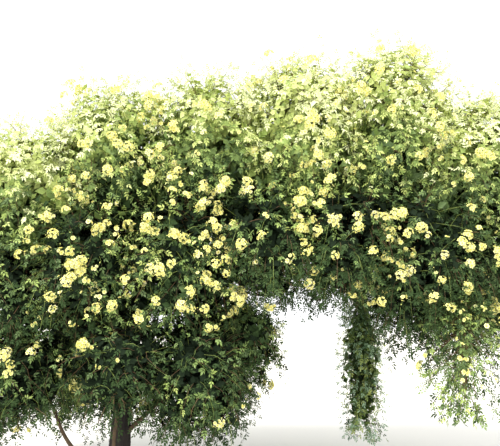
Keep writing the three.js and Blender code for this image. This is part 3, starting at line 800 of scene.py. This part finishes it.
FLOWER = flower_template()
BUD_SHAPE = np.array(((0, 0, 0), (0.5, 0.34, 0), (0.5, 0, 0.34), (0.5, -0.34, 0), (0.5, 0, -0.34),
                      (1, 0, 0)))
BUD_FACES = np.array(((0, 2, 1), (0, 3, 2), (0, 4, 3), (0, 1, 4), (5, 1, 2), (5, 2, 3), (5, 3, 4),
                      (5, 4, 1)))


def bloom_at(one, level):
    """How the flowers thin out over the height of a mass"""
    if one.kind.crown:
        return np.clip(1.5 - 1.5 * level, 0.06, 1)
    if one.hanging:
        return np.clip(0.9 + 1.3 * level, 0.02, 1) * np.clip(1.4 - level, 0.2, 1)
    return np.clip(2.2 + 2 * level, 0.1, 1)


def cluster_places(one, curves, rng):
    """Where flower clusters stand, in patches over the plant and in streams along some shoots"""
    tips = curves[:, 3]
    patch = waves(tips, BLOOM.patch_size, BLOOM.patch_seed)
    chance = one.bloom * BLOOM.share * np.clip(1 + BLOOM.patchiness * patch, *BLOOM.patches)
    chance *= bloom_at(one, level_of(one, tips))
    chance *= np.clip((tips[:, 0] - SHADY_END.x) / SHADY_END.width, SHADY_END.share, 1)
    flowering = curves[rng.random(len(curves)) < chance]
    owner, order = dealt(rng.poisson(BLOOM.clusters - 1, len(flowering)) + 1)
    back = (order + rng.uniform(0, BLOOM.loose, len(owner))) * BLOOM.spacing
    share = np.clip(1.0 - back, BLOOM.first, 1)
    return bezier(flowering[owner], share), heading_of(flowering[owner], share)


def add_clusters(flowers, twigs, one, curves, rng):
    nodes, headings = cluster_places(one, curves, rng)
    if not len(nodes):
        return
    ways = outward_of(one, nodes) + CLUSTER.up * UP + CLUSTER.ahead * headings
    axes = unit(ways + rng.normal(0, CLUSTER.sway, nodes.shape))
    bases = nodes + axes * rng.uniform(*CLUSTER.stalks, (len(nodes), 1))
    bases = np.clip(bases, BOX_FOOT, BOX_TOP)
    small_share = CLUSTER.hanging_small_share if one.hanging else CLUSTER.small_share
    small = rng.random(len(nodes)) < small_share
    few = rng.integers(*CLUSTER.small, len(nodes))
    counts = np.where(small, few, rng.integers(*CLUSTER.large, len(nodes)))
    owner, order = dealt(counts)
    out = np.sqrt((order + 0.3) / counts[owner])
    turns = order * GOLDEN_ANGLE + rng.uniform(0, WHOLE_TURN, len(nodes))[owner]
    first, second = crosswise(axes[owner])
    aside = turned(first, second, turns)
    size = FLOWER_RADIUS * rng.uniform(*CLUSTER.sizes, len(owner))
    slope = (CLUSTER.slope * out)[:, None]
    away = aside * np.sin(slope) + axes[owner] * np.cos(slope)
    dome = CLUSTER.dome * FLOWER_RADIUS * np.sqrt(counts[owner])
    middles = bases[owner] + away * (dome * rng.uniform(*CLUSTER.domes, len(owner)))[:, None]
    facing = unit(away + rng.normal(0, CLUSTER.tilt, middles.shape))
    along = unit(np.cross(facing, rng.normal(size=middles.shape)))
    template, faces, kinds = FLOWER
    cream = rng.random(len(nodes)) < CLUSTER.cream_share
    kinds = np.where(cream[owner][:, None] & (kinds == PALE), CREAM, kinds)
    flowers.add(placed(template, middles, along, facing, np.repeat(size[:, None], 3, 1)), faces, kinds)
    buds = rng.random(len(owner)) < BUDS.share
    bud_ways = unit(axes[owner][buds] * BUDS.up + aside[buds])
    bud_ends = bases[owner][buds] + bud_ways * BUDS.stalk
    bud_size = np.repeat(rng.uniform(*BUDS.sizes, buds.sum())[:, None], 3, 1)
    flowers.add(placed(BUD_SHAPE, bud_ends, bud_ways, first[buds], bud_size), BUD_FACES, BUD)
    add_stalks(twigs, np.concatenate((nodes, bases[owner], bases[owner][buds])),
               np.concatenate((bases, middles, bud_ends)))


def add_stalks(sheaf, starts, ends):
    """Thin flower stalks, each one sliver that runs out to a point"""
    side = crosswise(unit(ends - starts))[0] * STALK_WIDTH
    points = np.stack((starts - side, starts + side, ends), 1)
    sheaf.add(points, np.array(((0, 1, 2),)), GREEN_TWIG)


# Bark

TRUNK_BARK = Values(sides=60, step=0.02, lobes=(3, 7, 13, 21), depth=0.13)
BOUGH_BARK = Values(sides=12, step=0.03, lobes=(5, 9), depth=0.09)
TRUNK_SEED = 3
BOUGH_SEED = 20
BOUGH_SLIMNESS = 0.93
COLLAR_SWELL = 0.35  # where a limb leaves its carrier
COLLAR_LENGTH = 0.05


def ring_frames(controls, shares):
    """Each ring's two cross directions, carried along the curve so that the limb doesn't twist"""
    headings = heading_of(controls[None], shares)
    first = crosswise(headings[:1])[0][0]
    frames = []
    for heading in headings:
        first = unit(first - heading * first.dot(heading))
        frames.append((first, np.cross(heading, first)))
    return np.array(frames)


def bark_relief(along, turns, seed, lobes):
    """Furrows that run along a limb and wander a little round it, from -1 to 1"""
    rng = np.random.default_rng(seed)
    relief = np.zeros(np.broadcast(along, turns).shape)
    for count in lobes:
        for _ in range(2):
            sway = 0.5 * np.sin(along * rng.uniform(5, 12) + rng.uniform(0, WHOLE_TURN))
            swell = np.sin(along * rng.uniform(14, 34) + rng.uniform(0, WHOLE_TURN) + 2 * turns)
            furrow = np.cos(count * turns + sway * 2.4 + rng.uniform(0, WHOLE_TURN))
            relief += furrow * (0.7 + 0.3 * swell)
    return relief / (2 * len(lobes))


def add_limb(sheaf, one, seed, look):
    line = bezier(one.controls[None], np.linspace(0, 1, 9))
    length = np.linalg.norm(np.diff(line, axis=0), axis=-1).sum()
    rings = max(6, round(length / look.step))
    shares = np.linspace(0, 1, rings + 1)
    frames = ring_frames(one.controls, shares)
    sides = look.sides
    turns = math.tau * np.arange(sides) / sides
    along = (shares * length)[:, None]
    if one.name == "trunk":
        lobe = TRUNK.lobe_depth * np.exp(-along / (2 * TRUNK.flare_height)) * np.cos(TRUNK.lobes * turns)
        radius = trunk_radius(along) * (1 + lobe)
    else:
        taper = one.radii[0] + (one.radii[1] - one.radii[0]) * shares[:, None]
        radius = taper * (BOUGH_SLIMNESS + COLLAR_SWELL * np.exp(-along / COLLAR_LENGTH))
    radius = radius * (1 + look.depth * bark_relief(along, turns, seed, look.lobes)) * np.ones(sides)
    around = turned(frames[:, :1], frames[:, 1:], turns)
    points = bezier(one.controls[None], shares)[:, None] + around * radius[..., None]
    if one.name == "trunk":
        points[0, :, 2] = 0
    top = rings * sides
    foot_faces = np.array([(0, k + 1, k) for k in range(1, sides - 1)])
    top_faces = np.array([(top, top + k, top + k + 1) for k in range(1, sides - 1)])
    faces = np.concatenate((tube_faces(rings + 1, sides), foot_faces, top_faces))
    sheaf.add(points.reshape(1, -1, 3), faces, 0)


# Materials

def linear(code):
    """A colour from its usual six-digit code"""
    parts = [int(code[i:i + 2], 16) / 255 for i in (0, 2, 4)]
    return [part / 12.92 if part <= 0.04045 else ((part + 0.055) / 1.055) ** 2.4
            for part in parts] + [1.0]


def set_inputs(node, **values):
    """Sets inputs of a shader node, with _ for each space in their names"""
    for name, value in values.items():
        node.inputs[name.replace("_", " ")].default_value = value
    return node


def plain(name, code, roughness, gloss=0.5):
    """A material of one base colour"""
    made = bpy.data.materials.new(name)
    made.use_nodes = True
    set_inputs(made.node_tree.nodes["Principled BSDF"], Base_Color=linear(code), Roughness=roughness,
               Specular_IOR_Level=gloss)
    return made


def leaf_materials():
    looks = []
    for name, code in (GREENS | BLUES).items():
        roughness, gloss = (0.85, 0.1) if len(looks) < DULL_GREENS else (0.5, 0.35)
        looks.append(plain(name, code, roughness, gloss))
    return looks


def flower_materials():
    return [plain(name, code, 0.6, 0.3) for name, code in FLOWER_COLOURS.items()]


BROWN_TWIG, GREEN_TWIG = range(2)


def twig_materials():
    return [plain("twig_brown", "6b5238", 0.75), plain("twig_green", "7f8f45", 0.6)]


def bark_material(name, low, high, scale, depth):
    """Streaks that run along the wood, with fine cracks"""
    made = bpy.data.materials.new(name)
    made.use_nodes = True
    nodes, link = made.node_tree.nodes, made.node_tree.links.new
    shader = nodes["Principled BSDF"]
    place = nodes.new("ShaderNodeTexCoord")
    stretch = set_inputs(nodes.new("ShaderNodeMapping"), Scale=(scale, scale, scale * 0.18))
    link(place.outputs["Object"], stretch.inputs["Vector"])
    streaks = set_inputs(nodes.new("ShaderNodeTexNoise"), Scale=1.0, Detail=7.0, Roughness=0.68)
    link(stretch.outputs["Vector"], streaks.inputs["Vector"])
    ramp = nodes.new("ShaderNodeValToRGB")
    for stop, position, code in zip(ramp.color_ramp.elements, (0.3, 0.72), (low, high)):
        stop.position = position
        stop.color = linear(code)
    link(streaks.outputs["Fac"], ramp.inputs["Fac"])
    link(ramp.outputs["Color"], shader.inputs["Base Color"])
    roughness = set_inputs(nodes.new("ShaderNodeMapRange"), To_Min=0.72, To_Max=0.95)
    link(streaks.outputs["Fac"], roughness.inputs["Value"])
    link(roughness.outputs["Result"], shader.inputs["Roughness"])
    bump = set_inputs(nodes.new("ShaderNodeBump"), Strength=0.6, Distance=depth)
    link(streaks.outputs["Fac"], bump.inputs["Height"])
    link(bump.outputs["Normal"], shader.inputs["Normal"])
    return made


# The plant

def make_bark(limbs):
    trunk = Sheaf()
    add_limb(trunk, limbs["trunk"], TRUNK_SEED, TRUNK_BARK)
    # Its colours are darker than the old wood's own, partly as painted shade, as the trunk stands in
    # shade
    old = bark_material("old_bark", "0f0c0b", "2f2723", 34, 0.006)
    piece = trunk.make("trunk_bark", [old], smooth=True)
    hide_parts("trunk")
    boughs = Sheaf()
    for index, one in enumerate(LIMBS):
        add_limb(boughs, one, BOUGH_SEED + index, BOUGH_BARK)
    # Likewise darker than the young wood's own, partly as painted shade on the canes and boughs in shade
    young = bark_material("young_bark", "261b15", "65523a", 46, 0.003)
    piece = boughs.make("bough_bark", [young], smooth=True)
    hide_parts(*(one.name for one in LIMBS))


def finer_shoots(one, index, mains, stem, rng):
    """The finer shoots of a mass, which of them are buried, and the shoots at its edges"""
    if one.hanging:
        fines = hanging_shoots(one, index, stem, rng)
        return fines, np.zeros(len(fines), bool), fines[:0]
    fines, hidden = fine_shoots(one, index, mains, rng)
    edges = edge_shoots(one, mains, rng, FRINGE, one.fringe, one.trail)
    if one.kind.crown:
        edges = np.concatenate((edges, edge_shoots(one, mains, rng, CREST, one.crest)))
    return fines, hidden, edges


def dress(one, index, stem, leaves, inner, twigs, flowers):
    """Adds all that grows in one mass to its group's pieces"""
    rng = np.random.default_rng(SEED + index)
    mains = main_shoots(one, index, stem)
    fines, hidden, edges = finer_shoots(one, index, mains, stem, rng)
    finer = np.concatenate((fines, edges))
    hidden = np.concatenate((hidden, np.zeros(len(edges), bool)))
    curves = np.concatenate((mains, finer))
    bare = np.concatenate((buried(one, mains[:, 3]), hidden))
    at_edge = np.arange(len(curves)) >= len(mains) + len(fines)
    tones = tone_of(one, curves[:, 3]) + rng.normal(0, TONE.spread, len(curves))
    # Painted shade on the leaves of trailing shoots, whose tips hang below their bend
    tones[at_edge & (curves[:, 3, 2] < curves[:, 2, 2])] += FRINGE_PAINTED_SHADE
    add_twigs(twigs, stem.controls[None], stem.radii, STEPS.stem, BROWN_TWIG)
    add_twigs(twigs, mains, FINE_TWIG if one.hanging else MAIN_TWIG, STEPS.main, BROWN_TWIG)
    for chosen, steps in ((finer[~hidden], STEPS.fine), (finer[hidden], STEPS.hidden)):
        green = rng.random(len(chosen)) < 0.5
        add_twigs(twigs, chosen, FINE_TWIG, steps, np.where(green, GREEN_TWIG, BROWN_TWIG))
    add_leaves(leaves, one, curves[~bare], tones[~bare], rng)
    if one.dense:
        for bearing, where in ((mains, ON_MAINS), (finer, ON_FINES), (curves[bare], ON_BURIED)):
            add_inner_leaves(inner, one, bearing, where, rng)
        if one.kind.filled:
            filling = filling_shoots(one, index, mains, rng)
            add_twigs(twigs, filling, FINE_TWIG, STEPS.hidden, BROWN_TWIG)
            add_inner_leaves(inner, one, filling, ON_FILLING, rng)
    add_clusters(flowers, twigs, one, curves[~bare & ~at_edge], rng)


def make_foliage():
    leaf_looks = leaf_materials()
    flower_looks = flower_materials()
    twig_looks = twig_materials()
    carriers = {one.to: one for one in LIMBS if isinstance(one.to, str)}
    for group, kind in GROUPS.items():
        leaves, inner, twigs, flowers = Sheaf(), Sheaf(), Sheaf(), Sheaf()
        members = []
        for index, one in enumerate(MASSES):
            if one.group == group:
                members.append(one.name)
                dress(one, index, stem_of(one, carriers[one.name]), leaves, inner, twigs, flowers)
        piece = leaves.make(group + "_leaves", leaf_looks)
        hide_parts(*members)
        inner.make(group + "_inner_leaves", leaf_looks)
        twigs.make(group + "_twigs", twig_looks)
        flowers.make(group + "_flowers", flower_looks)


# Stage, light and camera

EYE = (1.27, -6.2, 1.6)
PITCH = math.radians(9.32)
IMAGE_WIDTH = 500
FOCAL_PIXELS = 613
SENSOR = 36.0


def make_stage():
    bpy.ops.mesh.primitive_plane_add(size=400)
    floor = bpy.context.object
    floor.name = "floor"
    floor.data.materials.append(plain("floor_pale", "e6e4de", 0.9, 0.1))
    world = bpy.data.worlds.new("studio")
    world.use_nodes = True
    set_inputs(world.node_tree.nodes["Background"], Color=(0.98, 0.99, 1.0, 1.0),
               Strength=1.45)
    bpy.context.scene.world = world
    sun = bpy.data.lights.new("soft_key", "SUN")
    sun.energy = 3.9
    sun.angle = math.radians(20)
    sun.color = (1.0, 0.97, 0.9)
    lamp = bpy.data.objects.new("soft_key", sun)
    lamp.rotation_euler = (math.radians(38), 0, math.radians(-30))
    bpy.context.scene.collection.objects.link(lamp)


def make_camera():
    lens = bpy.data.cameras.new("camera")
    lens.sensor_width = SENSOR
    lens.lens = FOCAL_PIXELS / IMAGE_WIDTH * SENSOR
    lens.clip_end = 500
    camera = bpy.data.objects.new("camera", lens)
    camera.location = EYE
    camera.rotation_euler = (math.pi / 2 + PITCH, 0, 0)
    bpy.context.scene.collection.objects.link(camera)
    bpy.context.scene.camera = camera
    bpy.context.scene.view_settings.view_transform = "Standard"


part_spaces()
limbs = grow_limbs()
make_bark(limbs)
make_foliage()
make_stage()
make_camera()
